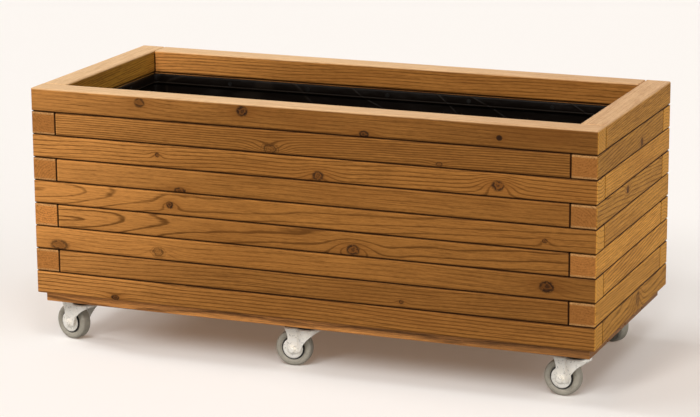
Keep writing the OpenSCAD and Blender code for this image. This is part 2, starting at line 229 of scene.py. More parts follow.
class Finish:
    """A node material, built through node() and fed to its Principled shader."""

    def __init__(self, name, **constants):
        self.material = bpy.data.materials.new(name)
        self.material.use_nodes = True
        self.tree = self.material.node_tree
        self.shader = self.tree.nodes["Principled BSDF"]
        self.feed(**constants)
        self.coordinates = None

    def node(self, kind, settings=None, inputs=(), output=0):
        """Adds a node, makes its settings first and then sets or links its sockets"""
        made = self.tree.nodes.new(kind)
        for key, value in (settings or {}).items():
            setattr(made, key, value)
        pairs = inputs.items() if isinstance(inputs, dict) else enumerate(inputs)
        for key, value in pairs:
            self._set(made.inputs[key], value)
        return Wire(self, made.outputs[output])

    def _set(self, socket, value):
        if isinstance(value, Wire):
            self.tree.links.new(value.socket, socket)
        elif hasattr(value, "__len__") and len(value) == 3 and socket.type == "RGBA":
            socket.default_value = (*value, 1)
        else:
            socket.default_value = value

    def feed(self, **values):
        """Sets or links the shader's sockets: base_color stands for Base Color"""
        for key, value in values.items():
            socket = key.replace("_", " ").title().replace("Ior", "IOR")
            self._set(self.shader.inputs[socket], value)

    def place(self):
        """The three object coordinates, in metres in the shared frame"""
        if self.coordinates is None:
            at = self.node("ShaderNodeTexCoord", output="Object")
            self.coordinates = [
                self.node("ShaderNodeSeparateXYZ", inputs=[at], output=i) for i in range(3)
            ]
        return self.coordinates

    def point(self, *parts):
        return self.node("ShaderNodeCombineXYZ", inputs=parts)

    def length(self, *parts):
        settings = {"operation": "LENGTH"}
        return self.node("ShaderNodeVectorMath", settings, [self.point(*parts)], output="Value")

    def noise(self, at, scale=1.0, detail=2.0, rough=0.5):
        inputs = {"Vector": at, "Scale": scale, "Detail": detail, "Roughness": rough}
        return self.node("ShaderNodeTexNoise", inputs=inputs)

    def mix(self, factor, first, second):
        settings = {"data_type": "RGBA", "clamp_factor": True}
        return self.node("ShaderNodeMix", settings, {0: factor, 6: first, 7: second}, output=2)

    def scale(self, tint, tone):
        """A colour made brighter or darker"""
        return self.node("ShaderNodeVectorMath", {"operation": "SCALE"}, {0: tint, 3: tone})

    def bump(self, height, distance, strength=1.0):
        inputs = {"Height": height, "Distance": distance, "Strength": strength}
        self.feed(normal=self.node("ShaderNodeBump", inputs=inputs))


# ---- the beams: where the pith runs, and the knots ----


@dataclass
class Knot:
    """A knot through a beam, in metres from the middle of the beam's face"""

    along: float
    up: float
    wide: float = 0.009  # half its width
    high: float = 0.008  # half its height
    dark: float = 1.0
    bend: float = 2.0  # how many rings it pushes the grain aside
    rings: float = 0.0  # how strongly rings are drawn round it


@dataclass
class Grain:
    """How one beam was cut from its log. Heights are from the beam's middle, depths from its outer
    face inwards, places along it from the box's middle, all in metres"""

    up: float = 0.09  # height of the pith
    deep: float = 0.05  # depth of the pith
    rise: float = 0.0  # how much the pith rises per metre along the beam
    dive: float = 0.0  # how much it runs inwards per metre
    ring: float = 0.0065  # from one growth line to the next
    sway: float = 0.012  # how far the pith wanders
    tone: float = 1.0
    red: float = 0.5  # strength of the broad warm patches
    bold: float = 0.8  # strength of the growth lines
    dips: tuple = ()  # where the pith comes up to the face: place, half length and how far
    knots: tuple = ()
    cut: tuple = (1.0, 1.0)  # tone of the cut ends, left and right
    late_from: float = 0.52  # where in a ring its dark line starts
    painted_right_shade: float = 0.0  # painted shade: how much darker the beam is towards its right end


@dataclass
class Marks:
    """Where a beam's surface differs from plain oiled wood, each from 0 to 1"""

    end_cut: object = 0.0
    joint_shade: object = 0.0
    rim: object = 0.0  # the rim's top: sanded wood with painted light and sheen
    rim_painted_shade: object = 0.0  # painted shade along the rim towards its right end
    painted_light: object = 0.0  # painted light towards the left end and the top, and a painted highlight at a butted end


FRONT_GRAIN = {
    1: Grain(
        up=0.13, deep=0.10, rise=-0.01, ring=0.0062, sway=0.010, tone=0.84, red=1.0, bold=0.35,
        painted_right_shade=0.20, cut=(0.84, 0.84),
        knots=(
            Knot(-0.354, 0.0095, 0.0095, 0.0080, 0.60, 0.7),
            Knot(-0.129, 0.0090, 0.0100, 0.0088, 1.05, 0.9),
            Knot(0.129, -0.0180, 0.0085, 0.0060, 1.10, 1.3),
            Knot(0.405, -0.0043, 0.0050, 0.0046, 1.60, 0.5),
        ),
    ),
    2: Grain(
        up=-0.085, deep=0.014, rise=0.015, ring=0.0046, sway=0.014, tone=0.88, red=0.7, bold=0.85,
        painted_right_shade=0.12,
        knots=(
            Knot(-0.070, -0.0150, 0.0120, 0.0080, 0.06, 3.4, 1.0),
            Knot(0.284, -0.0170, 0.0060, 0.0040, 0.50, 1.0),
        ),
    ),
    3: Grain(
        up=0.062, deep=0.03, rise=0.030, ring=0.0070, sway=0.026, tone=1.02, red=0.4, bold=0.75,
        knots=(
            Knot(-0.317, 0.0018, 0.0042, 0.0042, 0.75, 1.0),
            Knot(0.032, -0.0128, 0.0100, 0.0080, 0.80, 1.8),
            Knot(0.403, -0.0019, 0.0105, 0.0085, 0.90, 3.2),
        ),
    ),
    4: Grain(
        up=0.16, deep=0.14, ring=0.0070, tone=0.94, red=0.6, bold=0.25, painted_right_shade=0.10,
        knots=(Knot(-0.268, -0.0200, 0.0110, 0.0060, 0.90, 1.0),),
    ),
    5: Grain(
        up=0.034, deep=0.042, rise=0.050, ring=0.0118, sway=0.006, tone=1.02, red=0.3, bold=0.62,
        late_from=0.70, painted_right_shade=0.15, dips=((-0.60, 0.17, 0.036),),
        knots=(
            Knot(-0.291, -0.0031, 0.0066, 0.0062, 1.10, 1.0),
            Knot(0.498, -0.0054, 0.0045, 0.0038, 0.80, 0.8),
        ),
    ),
    6: Grain(
        up=0.026, deep=0.044, rise=0.055, ring=0.0128, sway=0.003, tone=0.95, red=0.45, bold=0.85,
        late_from=0.68, painted_right_shade=0.12, dips=((-0.56, 0.24, 0.040),),
        knots=(Knot(0.105, -0.0117, 0.0115, 0.0090, 0.85, 2.2),),
    ),
    7: Grain(
        up=0.15, deep=0.12, ring=0.0072, tone=1.03, red=0.5, bold=0.30, painted_right_shade=0.30,
        knots=(
            Knot(-0.544, -0.0135, 0.0170, 0.0095, 0.55, 0.7),
            Knot(-0.320, -0.0075, 0.0105, 0.0070, 0.10, 2.0, 0.60),
            Knot(0.503, 0.0005, 0.0125, 0.0095, 1.10, 1.6),
        ),
    ),
    8: Grain(
        up=0.085, deep=0.045, rise=0.02, ring=0.0066, sway=0.014, tone=0.83, red=0.8, bold=0.5,
        painted_right_shade=0.10,
        knots=(Knot(0.206, -0.0114, 0.0040, 0.0035, 0.7, 0.8),),
    ),
    9: Grain(
        up=-0.085, deep=0.030, rise=-0.008, ring=0.0070, sway=0.010, tone=0.92, red=0.5, bold=0.7,
        painted_right_shade=0.05, cut=(0.84, 0.84),
        knots=(Knot(-0.420, -0.0172, 0.0080, 0.0045, 1.1, 1.0),),
    ),
}
SIDE_GRAIN = {
    1: Grain(up=0.12, deep=0.03, rise=0.06, ring=0.0046, tone=0.87, bold=0.42),
    2: Grain(
        up=0.05, deep=0.045, rise=0.05, dive=0.02, ring=0.0050, tone=0.82, bold=0.42,
        cut=(1.08, 0.90), knots=(Knot(0.046, -0.0117, 0.0045, 0.0075, 1.0, 0.9),),
    ),
    3: Grain(up=-0.12, deep=0.05, ring=0.0052, tone=1.15, bold=0.30),
    4: Grain(
        up=-0.05, deep=0.06, rise=-0.06, dive=0.03, ring=0.0054, tone=0.94, bold=0.42,
        cut=(1.25, 0.85), knots=(Knot(-0.049, 0.0090, 0.0055, 0.0060, 1.0, 1.3),),
    ),
    5: Grain(up=0.15, deep=0.10, ring=0.0060, tone=1.07, bold=0.28),
    6: Grain(up=0.07, deep=0.03, rise=0.05, ring=0.0048, tone=1.33, bold=0.42, cut=(1.62, 1.02)),
    7: Grain(up=0.06, deep=0.055, rise=0.05, dive=0.04, ring=0.0052, tone=1.22, bold=0.45),
    8: Grain(up=-0.09, deep=0.03, rise=-0.03, ring=0.0050, tone=1.10, bold=0.40, cut=(1.20, 0.80)),
    9: Grain(
        up=0.03, deep=0.05, dive=0.05, ring=0.0064, tone=0.90, bold=0.42,
        knots=(Knot(0.040, 0.0040, 0.0100, 0.0130, 0.35, 2.6),),
    ),
}
BOARD_GRAIN = Grain(
    up=-0.06, deep=0.05, rise=0.01, ring=0.0075, sway=0.012, tone=1.22, red=0.35, bold=0.6,
    painted_right_shade=0.45,
)
BOARD_SEED = 17.3
WALL_SEEDS = {"front": 0.0, "back": 41.3, "sides": 83.9}
SEED_STEP = 3.7  # from one course to the next
FAR_SIDE_SEED = 11.7  # what tells the left side beam from the right one


def back_grain(course):
    """Plain grain, turned over on every other course, with two knots that wander from course to
    course; the top beam has none"""
    turned = 1 if course % 2 else -1
    knots, tone = (), 1.14
    if course > 1:
        tone = 0.94 + 0.03 * (course * 5 % 4)
        first, second = course * 0.377 % 0.9 - 0.45, course * 0.233 % 0.8 - 0.40
        knots = (
            Knot(first, 0.004 * turned, 0.008, 0.007, 0.9, 2.0),
            Knot(second, -0.012, 0.006, 0.005, 0.8, 1.4),
        )
    return Grain(
        up=0.075 * turned, deep=0.035, rise=0.02 * turned, dive=0.01, ring=0.0066, sway=0.018,
        tone=tone, red=0.8, bold=0.6, knots=knots,
    )


# How often each layer of the grain changes per metre, along the beam and across it
WOBBLE = (6, 34)
PATCHES = (2.6, 12)
SPECKLE = (105, 115)
LINES = (5, 260)
STREAKS = (16, 520)
FIBRES = (70, 1100)
SAW_SPECKS = (300, 300)


def layer(finish, place, rate, shift, detail=2.0, rough=0.6):
    """Noise drawn out along the grain. shift moves it along, so that no two beams are alike"""
    along, up, deep = place
    lengthways, crossways = rate
    at = finish.point(along * lengthways + shift, up * crossways, deep * crossways)
    return finish.noise(at, 1.0, detail, rough)


def growth(finish, grain, place, seed):
    """How far a point lies from the pith, counted in rings. The pith runs askew, sways and dips"""
    along, up, deep = place
    swing_at = finish.point(along * 1.7 + seed, seed * 0.37, seed * 0.11)
    swing = finish.noise(swing_at, 1.0, 1.0) - 0.5
    swing_in_at = finish.point(along * 2.1 - seed, seed * 0.73, 0.0)
    swing_in = finish.noise(swing_in_at, 1.0, 1.0) - 0.5
    across = up - grain.up - along * grain.rise + swing * (2 * grain.sway)
    inward = deep - grain.deep - along * grain.dive + swing_in * (2 * grain.sway)
    for at, half, reach in grain.dips:
        off = (along - at) * (1 / half)
        inward = inward + (off * off * -1).exp() * reach
    wobble = layer(finish, place, WOBBLE, seed)
    return finish.length(across, inward, 0.0) / grain.ring + wobble * 0.8


def knot_reach(finish, knot, place, broken):
    """Two measures of how far a point lies from a knot: one is 1 at its ragged edge, the other
    is wider and smooth"""
    off, rise = place[0] - knot.along, place[1] - knot.up
    near = finish.length(off * (0.30 / knot.wide), rise * (0.50 / knot.high), 0.0)
    edge = finish.length(off * (1 / knot.wide), rise * (1 / knot.high), 0.0)
    return edge + (broken - 0.5) * 1.4, near


def draw_knot(finish, look, body, knot, edge, near, broken):
    """Lays a knot's halo, rings, heart and bark line over the wood. Returns the colour and how
    deep the bark line is"""
    strong = min(1.0, knot.dark)
    halo = (near * near * -1.1).exp() * (0.80 * strong)
    body = finish.mix(halo * (broken * 0.8 + 0.5), body, look.red)
    rings = (edge * 10 + broken * 4).sine() * 0.5 + 0.5
    core = 1 - edge.smooth(0.75, 1.10)
    heart = 1 - edge.smooth(0.05, 0.55)
    inner = finish.mix(rings * 0.7, look.knot, look.red)
    heart_dark = 0.45 * strong + 0.9 * max(0.0, knot.dark - 0.9)
    inner = finish.mix(heart * heart_dark, inner, look.knot_edge)
    inner = finish.mix(min(1.0, max(0.0, knot.dark - 1.0) * 1.6), inner, look.knot_edge)
    body = finish.mix(core * (0.15 + strong * 0.80), body, inner)
    if knot.rings:
        circles = (edge * 12 + broken * 3).sine().smooth(-0.1, 0.8) * (1 - edge.smooth(1.3, 2.1))
        body = finish.mix(circles * knot.rings, body, look.late)
    bark = edge.smooth(0.62, 0.98) * (1 - edge.smooth(1.00, 1.50)) * broken.smooth(0.30, 0.55)
    body = finish.mix(bark * (0.45 + strong * 0.55), body, look.knot_edge)
    return body, bark * (0.6 * strong)


def wood_colour(finish, look, grain, place, seed, pale, sawn=None, marks=Marks()):
    """Feeds colour, roughness and bump of sawn softwood. place holds how far a point lies along,
    up and into the beam, pale is the wood between its growth lines and sawn that of its ends"""
    broken = layer(finish, place, SPECKLE, seed, rough=0.5)
    phase = growth(finish, grain, place, seed)
    reaches = [knot_reach(finish, knot, place, broken) for knot in grain.knots]
    for knot, (_, near) in zip(grain.knots, reaches):
        phase = phase + (near * near * -1).exp() * knot.bend
    patch = layer(finish, place, PATCHES, seed * -1, detail=3.0)
    line = layer(finish, place, LINES, seed)
    streak = layer(finish, place, STREAKS, seed * -1)
    fibre = layer(finish, place, FIBRES, seed)

    ring = phase.fraction()
    late = ring.smooth(grain.late_from, 0.86) * (1 - ring.smooth(0.88, 0.98))
    late = late * (patch * 0.9 + 0.40) * grain.bold
    fine = (line - 0.5) * 0.85 + (streak - 0.5) * 1.35 + (fibre - 0.5) * 1.30
    dark = late * 1.25 + fine + 0.14
    body = finish.mix(dark.smooth(-0.42, 1.05), pale, look.late)
    body = finish.mix(patch.smooth(0.42, 0.72) * (0.60 * grain.red), body, look.red)
    # painted light towards the left end and the top
    painted_light = finish.mix(dark.smooth(-0.20, 1.30), look.painted_light, look.late)
    body = finish.mix(marks.painted_light, body, painted_light)

    hollow = 0.0
    for knot, (edge, near) in zip(grain.knots, reaches):
        body, bark = draw_knot(finish, look, body, knot, edge, near, broken)
        hollow = bark + hollow
    # painted shade: darker towards the right end
    tone = place[0].smooth(-0.10, 0.60) * (-grain.painted_right_shade * grain.tone) + grain.tone
    body = finish.scale(body, tone)

    if sawn is not None:
        speck = layer(finish, place, SAW_SPECKS, 0.0, detail=3.0, rough=0.7)
        ends = finish.mix((speck - 0.5) * 2.0 + late * 0.80 + 0.12, sawn, look.late)
        body = finish.mix(marks.end_cut, body, ends)
    # the rim's top: painted light and sheen, darkened by its grain and by painted shade towards the
    # right end
    rim_grain_and_shade_share = (fine * 1.2 + late * 0.15).smooth(-0.45, 0.85) * 0.80 + marks.rim_painted_shade
    body = finish.mix(marks.rim, body, finish.mix(rim_grain_and_shade_share, look.rim, look.rim_grain_and_shade))
    body = finish.mix(marks.joint_shade, body, look.joint_shade)
    finish.feed(base_color=body)
    finish.feed(roughness=look.sheen + late * 0.10 + (streak - 0.5) * 0.25)
    finish.bump(streak * 0.5 + line * 0.5 + fibre * 0.2 - late * 0.3 - hollow, look.fibre_depth)


BUTTED = 0.01  # an end this far or more from the box's face is butted against another beam


def joints_and_cuts(look, course, box, axis, corner, place):
    """Painted shade in the gaps where a beam meets its neighbours, and its cut ends that can be
    seen
    """
    low, high = box
    along, up, deep = place
    half = (high[2] - low[2]) / 2
    gap = look.joint_width
    joint_shade = end_cut = 0.0
    if course > 1:
        joint_shade = up.smooth(half - gap, half - gap * 0.25)
    if course < COURSES:
        joint_shade = (up * -1).smooth(half - gap, half - gap * 0.25) + joint_shade
    for side, end in ((-1, -low[axis]), (1, high[axis])):
        out = along * side
        if end < corner - BUTTED:
            joint_shade = out.smooth(end - gap, end - gap * 0.25) + joint_shade
        else:
            inner = end - BEAM_WIDTH
            seam = deep.smooth(BEAM_WIDTH - gap, BEAM_WIDTH - gap * 0.25)
            joint_shade = seam * out.smooth(inner - gap, inner + gap * 0.5) + joint_shade
            end_cut = out.smooth(end - 0.0018, end - 0.0004) + end_cut
    return joint_shade, end_cut


def side_colours(finish, look, grain, up, across, deep, half):
    """Pale wood and cut ends of a pair of side beams: the ends have their own tones and painted
    highlights along their top and bottom edges, and the left beam's inner face gets painted shade"""
    left, right = grain.cut
    rightwards = across.smooth(-0.1, 0.1)
    sawn = finish.scale(look.sawn, rightwards * (right - left) + left)
    # painted highlight along the top and bottom edges of the cut ends
    worn = abs(up).smooth(half - 0.0070, half - 0.0035)
    # painted shade on the left beam's inner face
    left_inner_shade = deep.smooth(BEAM_WIDTH - 0.004, BEAM_WIDTH - 0.001) * (1 - rightwards)
    pale = finish.mix(left_inner_shade * 0.8, look.side, look.painted_shade)
    return pale, finish.mix(worn * 0.35, sawn, look.worn)


def beam_finish(name, grain, look, lies_along_x, box, course, seed):
    """Oiled softwood for one beam or pair of beams. box is the CAD node's own"""
    finish = Finish(name, roughness=look.sheen, ior=1.45, specular_ior_level=0.06)
    low, high = box
    x, y, z = finish.place()
    half = (high[2] - low[2]) / 2
    up = z - (low[2] + half)
    if lies_along_x:
        along, across, outer, corner, axis = x, y, BOX_HALF_DEPTH, BOX_HALF_LENGTH, 0
    else:
        along, across, outer, corner, axis = y, x, BOX_HALF_LENGTH, BOX_HALF_DEPTH, 1
    deep = outer - abs(across)
    place = (along, up, deep)
    joint_shade, end_cut = joints_and_cuts(look, course, box, axis, corner, place)
    marks = Marks(end_cut=end_cut, joint_shade=joint_shade)
    if course == 1:
        # the rim's top gets painted light and sheen, and painted shade towards its right end
        marks.rim = up.smooth(half - 0.0042, half - 0.0008)
        marks.joint_shade = joint_shade * (1 - up.smooth(half - 0.009, half - 0.004))
        marks.rim_painted_shade = x.smooth(-0.25, 0.62) * 0.45
    if lies_along_x:
        # The cut ends of a front or back beam are seen on the side walls and take their colour,
        # painted light included
        pale = look.early
        sawn = tuple(c * grain.cut[1] for c in look.side)
        # painted light: paler towards the left end and the top
        marks.painted_light = (along * -1 + (up * 2.0)).smooth(0.10, 0.70) * 0.90
        # painted highlight at the left end of a butted beam, whose rounded end catches light
        if high[0] - low[0] < 2 * (corner - BUTTED):
            butt_end_highlight = (along * -1).smooth(-low[0] - 0.0075, -low[0] - 0.004)
            marks.painted_light = marks.painted_light.largest(butt_end_highlight)
    else:
        pale, sawn = side_colours(finish, look, grain, up, across, deep, half)
        seed = across.sign() * FAR_SIDE_SEED + seed
    marks.joint_shade = marks.joint_shade * 0.94
    wood_colour(finish, look, grain, place, seed, pale, sawn, marks)
    return finish.material


# ---- finishes without cut ends ----


def board_finish(look):
    """Softwood of the floor boards, which lie along X"""
    finish = Finish("timber_boards", roughness=look.sheen, ior=1.45, specular_ior_level=0.35)
    x, y, z = finish.place()
    low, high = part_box("floor_boards")
    place = (x, z - (low[2] + high[2]) / 2, abs(y))
    wood_colour(finish, look, BOARD_GRAIN, place, BOARD_SEED, look.board)
    return finish.material


def dowel_finish(look):
    """Turned beech, which is drawn with its fibres upright"""
    finish = Finish("timber_dowels", roughness=0.6)
    x, y, z = finish.place()
    fibre = finish.noise(finish.point(x * 700, y * 700, z * 18), 1.0, 3.0)
    finish.feed(base_color=finish.mix(fibre.smooth(0.35, 0.65), look.early, look.late))
    finish.feed(roughness=fibre * 0.2 + 0.5)
    finish.bump(fibre, 0.0002)
    return finish.material


def film_finish(look):
    """Black film: soft sheen, faint creases and dust, with painted highlights along its hem and its
    folds
    """
    finish = Finish("black_film", roughness=look.roughness, ior=1.45, specular_ior_level=0.08)
    x, y, z = finish.place()
    at = finish.point(x, y, z)
    crease = finish.noise(finish.point(x * 3, y * 3, z * 7), 4.0, 3.0, 0.55)
    grit = finish.noise(at, 900.0, 2.0)
    dust = finish.noise(at, 14.0, 3.0, 0.6).smooth(0.52, 0.78)
    slant_at = finish.point((x + y) * 4 + z * 6, (x + y) * 1.5 - z * 3, 4.1)
    slant = finish.noise(slant_at, 1.0, 1.0, 0.5)
    fold = 1 - abs(slant - 0.5).smooth(0.001, 0.009)
    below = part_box("liner")[1][2] - z
    edge = look.hem - 0.003
    hem = below.smooth(edge - 0.002, edge) * (1 - below.smooth(edge + 0.001, edge + 0.003))
    shade = finish.mix(dust * 0.35, look.film, look.dust)
    # painted highlight along the hem and the folds
    shade = finish.mix((fold * 0.16).largest(hem * 0.60), shade, look.crease)
    finish.feed(base_color=shade)
    finish.feed(roughness=look.roughness + (crease - 0.5) * 0.25 + dust * 0.15)
    finish.bump(crease * 3 + grit * 0.12 + fold * 0.5 + hem, 0.0012, 0.8)
    return finish.material


def metal_finish(name, tint, dull, rough, spangle, shine=1.0, gap=None):
    """Plated or plain steel with clouds of a dull tint, flecks, fine scratches and slightly uneven
    plating. spangle is how many grains of it lie in a metre, and shine how metallic it is. gap
    holds the two levels between which a caster's gap gets painted shade, and the colour of that
    painted shade"""
    finish = Finish(name, metallic=shine, roughness=rough)
    x, y, z = finish.place()
    at = finish.point(x, y, z)
    cloud = finish.noise(at, 60.0, 3.0, 0.6)
    bloom = finish.noise(at, spangle, 2.0, 0.6)
    scratch = finish.noise(finish.point(x * 900, y * 900, z * 60), 1.0, 2.0)
    shade = cloud.smooth(0.30, 0.72) * 0.55 + bloom * 0.25
    body = finish.mix(shade, tint, dull)
    fleck = finish.noise(at, spangle * 0.8, 2.0, 0.6).smooth(0.56, 0.68)
    body = finish.mix(fleck * 0.60, body, tuple(c * 0.45 for c in dull))
    if gap is not None:
        low, high, gap_shade = gap
        # painted shade in the gap between a fork's top and its plate
        gap_shaded = z.smooth(low - 0.001, low) * (1 - z.smooth(high, high + 0.0005))
        body = finish.mix(gap_shaded, body, gap_shade)
    finish.feed(base_color=body)
    finish.feed(roughness=(cloud - 0.5) * 0.30 + (scratch - 0.5) * 0.12 + rough)
    finish.bump(bloom + scratch * 0.4, 0.00006, 0.6)
    return finish.material


def rubber_finish(look):
    """Grey rubber with pale dust and dark worn spots"""
    finish = Finish("grey_rubber", roughness=0.62, ior=1.5, specular_ior_level=0.4)
    x, y, z = finish.place()
    at = finish.point(x, y, z)
    mottle = finish.noise(at, 45.0, 3.0, 0.6)
    grit = finish.noise(at, 1500.0, 1.0)
    dark = tuple(c * 0.62 for c in look.rubber)
    pale = tuple(min(1.0, c * 1.22) for c in look.rubber)
    body = finish.mix(mottle.smooth(0.30, 0.70), look.rubber, pale)
    worn = finish.noise(at, 160.0, 2.0).smooth(0.55, 0.80)
    finish.feed(base_color=finish.mix(worn * 0.6, body, dark))
    finish.feed(roughness=mottle * 0.25 + 0.50)
    finish.bump(grit + mottle, 0.00012, 0.6)
    return finish.material


def moulded_finish(name, tint, sheen=0.5):
    """Dark moulded plastic or a dull dark coat, slightly cloudy"""
    finish = Finish(name, roughness=0.55, ior=1.5, specular_ior_level=sheen)
    x, y, z = finish.place()
    at = finish.point(x, y, z)
    grit = finish.noise(at, 1100.0, 2.0)
    cloud = finish.noise(at, 35.0, 2.0)
    pale = tuple(min(1.0, c * 1.9 + 0.004) for c in tint)
    finish.feed(base_color=finish.mix(cloud.smooth(0.35, 0.70), tint, pale))
    finish.feed(roughness=cloud * 0.2 + 0.42)
    finish.bump(grit, 0.00008, 0.5)
    return finish.material


# Tints of the floor's screws, and of the clouds in each metal
SCREW_TINT = (0.62, 0.58, 0.48)
SCREW_DULL = (0.40, 0.35, 0.24)
ZINC_DULL = (0.95, 0.88, 0.76)
STEEL_DULL = (0.36, 0.34, 0.31)
GAP_SHADE_DULL = (0.02, 0.018, 0.014)

CROWN_EDGE = 0.0006  # how far below a fork's top the painted shade of the gap starts
PLATE_DEPTH = 0.0026  # how far below a plate's top it ends


# ---- pieces ----


def make_mesh(name, work):
    """Turns a bmesh into a mesh and frees it"""
    mesh = bpy.data.meshes.new(name)
    work.to_mesh(mesh)
    work.free()
    return mesh


def put(name, data):
    """Adds an object to the scene"""
    made = bpy.data.objects.new(name, data)
    bpy.context.scene.collection.objects.link(made)
    return made


def paint(node, material):
    """Gives a CAD node its finish"""
    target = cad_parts[node]
    target.data.materials.clear()
    target.data.materials.append(material)


def add_piece(name, work, body, material, replaced):
    """Turns a bmesh into a piece that rides on a body and stands for a CAD node"""
    mesh = make_mesh(name, work)
    for face in mesh.polygons:
        face.use_smooth = True
    mesh.materials.append(material)
    piece = put(name, mesh)
    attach(piece, body)
    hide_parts(replaced)
    return piece


def slice_up(work, axis, low, high, step):
    """Cuts a bmesh into even cells along one axis"""
    count = max(1, round((high - low) / step))
    normal = Vector([float(i == axis) for i in range(3)])
    for i in range(1, count):
        geometry = work.verts[:] + work.edges[:] + work.faces[:]
        bmesh.ops.bisect_plane(
            work, geom=geometry, plane_co=normal * (low + (high - low) * i / count), plane_no=normal
        )


def film_tray(look):
    """The film before it settles: an open tray with rounded folds, cut into even cells"""
    low, high = (Vector(corner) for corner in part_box("liner"))
    size, middle = high - low, (low + high) / 2
    work = bmesh.new()
    bmesh.ops.create_cube(work, size=1.0)
    bmesh.ops.scale(work, vec=size, verts=work.verts)
    bmesh.ops.translate(work, vec=middle, verts=work.verts)
    lid = [face for face in work.faces if face.normal.z > 0.5]
    bmesh.ops.delete(work, geom=lid, context="FACES_ONLY")
    folds = [edge for edge in work.edges if not edge.is_boundary]
    bmesh.ops.bevel(
        work,
        geom=folds,
        offset=look.fold_round,
        segments=3,
        profile=0.5,
        affect="EDGES",
        material=-1,
        clamp_overlap=True,
    )
    for axis in range(3):
        slice_up(work, axis, low[axis], high[axis], look.cell)
    return work, low, high


AT_END_WALL = 0.985  # share of the tray's half length from which a point is on an end wall
AT_LONG_WALL = 0.965  # share of its half depth from which a point is on a long wall


def hem_over(work, look, high):
    """Turns the film in at the mouth and down again, as a hem"""
    rim = [edge for edge in work.edges if edge.is_boundary]
    flap = look.hem * 0.45
    for across, down in ((0.0014, 0.0008), (0.0010, 0.0030), (0.0, flap), (0.0, flap)):
        turned = bmesh.ops.extrude_edge_only(work, edges=rim)["geom"]
        points = [item for item in turned if isinstance(item, bmesh.types.BMVert)]
        rim = [item for item in turned if isinstance(item, bmesh.types.BMEdge)]
        for point in points:
            side = Vector((point.co.x / high.x, point.co.y / high.y))
            if abs(side.x) > AT_END_WALL:
                point.co.x -= math.copysign(across, side.x)
            if abs(side.y) > AT_LONG_WALL:
                point.co.y -= math.copysign(across, side.y)
            point.co.z -= down


SLACK_OVER = 0.05  # how far below the hem the film hangs quite free
HEM_SLACK = 0.10  # share of the waves that reaches the hem
MOUTH = 0.004  # how far down the film's mouth stays straight
FLOOR_FROM = 0.1  # how far down a point lies to be on the film's floor
FLOOR_WAVE = 0.7  # height of the floor's waves as a share of the walls'


def settle(work, look, low, high):
    """Lets the film stand off its walls in long soft waves, never outwards, and least at the hem"""
    for point in work.verts:
        at = point.co
        below = high.z - at.z
        slack = min(1.0, max(0.0, (below - look.hem) / SLACK_OVER)) + HEM_SLACK * (below > MOUTH)
        wave = noise.noise(Vector((at.x * 5, at.y * 5, at.z * 9)))
        fine = noise.noise(Vector((at.x * 17 + 5, at.y * 17, at.z * 26)))
        inward = max(0.0, look.wave * slack * (0.5 + 0.5 * wave + 0.22 * fine))
        gap = (high.x - abs(at.x), high.y - abs(at.y), at.z - low.z)
        close = 2 * look.fold_round
        push = Vector((0.0, 0.0, 0.0))
        if gap[0] < close:
            push.x = -math.copysign(inward, at.x)
        if gap[1] < close:
            push.y = -math.copysign(inward, at.y)
        if gap[2] < close and below > FLOOR_FROM:
            push.z = inward * FLOOR_WAVE
        point.co = at + push


def put_in_order(work):
    """Numbers points, edges and faces by where they lie, because the hem's folds leave them in
    another order on each run"""
    for i, point in enumerate(sorted(work.verts, key=lambda point: tuple(point.co))):
        point.index = i
    work.verts.sort()
    for items in (work.edges, work.faces):
        ranked = sorted(items, key=lambda item: sorted(point.index for point in item.verts))
        for i, item in enumerate(ranked):
            item.index = i
        items.sort()


class PLANTER_OT_beams(bpy.types.Operator):
    """Grain, knots and oil on the nine courses of beams"""

    bl_idname = "planter.beams"
    bl_label = "Finish the beams"

    def execute(self, context):
        look = context.scene.planter_timber
        for k in range(1, COURSES + 1):
            grains = {"front": FRONT_GRAIN[k], "back": back_grain(k), "sides": SIDE_GRAIN[k]}
            for wall, grain in grains.items():
                node, along_x = f"course_{k}_{wall}", wall != "sides"
                seed = SEED_STEP * k + WALL_SEEDS[wall]
                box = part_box(node)
                paint(node, beam_finish(f"timber_{node}", grain, look, along_x, box, k, seed))
        return {"FINISHED"}


class PLANTER_OT_floor_and_pins(bpy.types.Operator):
    """Floor boards, their screws and the dowels between the courses"""

    bl_idname = "planter.floor_and_pins"
    bl_label = "Finish the floor, screws and dowels"

    def execute(self, context):
        look = context.scene.planter_timber
        paint("floor_boards", board_finish(look))
        paint("dowels", dowel_finish(look))
        screw = metal_finish("screw_steel", SCREW_TINT, SCREW_DULL, rough=0.34, spangle=300.0)
        paint("floor_screws", screw)
        return {"FINISHED"}


class PLANTER_OT_liner(bpy.types.Operator):
    """Folded film with its hem, and the tacks that hold it"""

    bl_idname = "planter.liner"
    bl_label = "Hang the liner"

    def execute(self, context):
        look = context.scene.planter_liner
        work, low, high = film_tray(look)
        hem_over(work, look, high)
        settle(work, look, low, high)
        put_in_order(work)
        film = add_piece("liner_film", work, BOX, film_finish(look), "liner")
        thick = film.modifiers.new("Film", "SOLIDIFY")
        thick.thickness = look.thickness
        thick.offset = 0.0
        caster = context.scene.planter_casters
        paint("liner_tacks", moulded_finish("blackened_tacks", caster.tack, sheen=0.05))
        return {"FINISHED"}


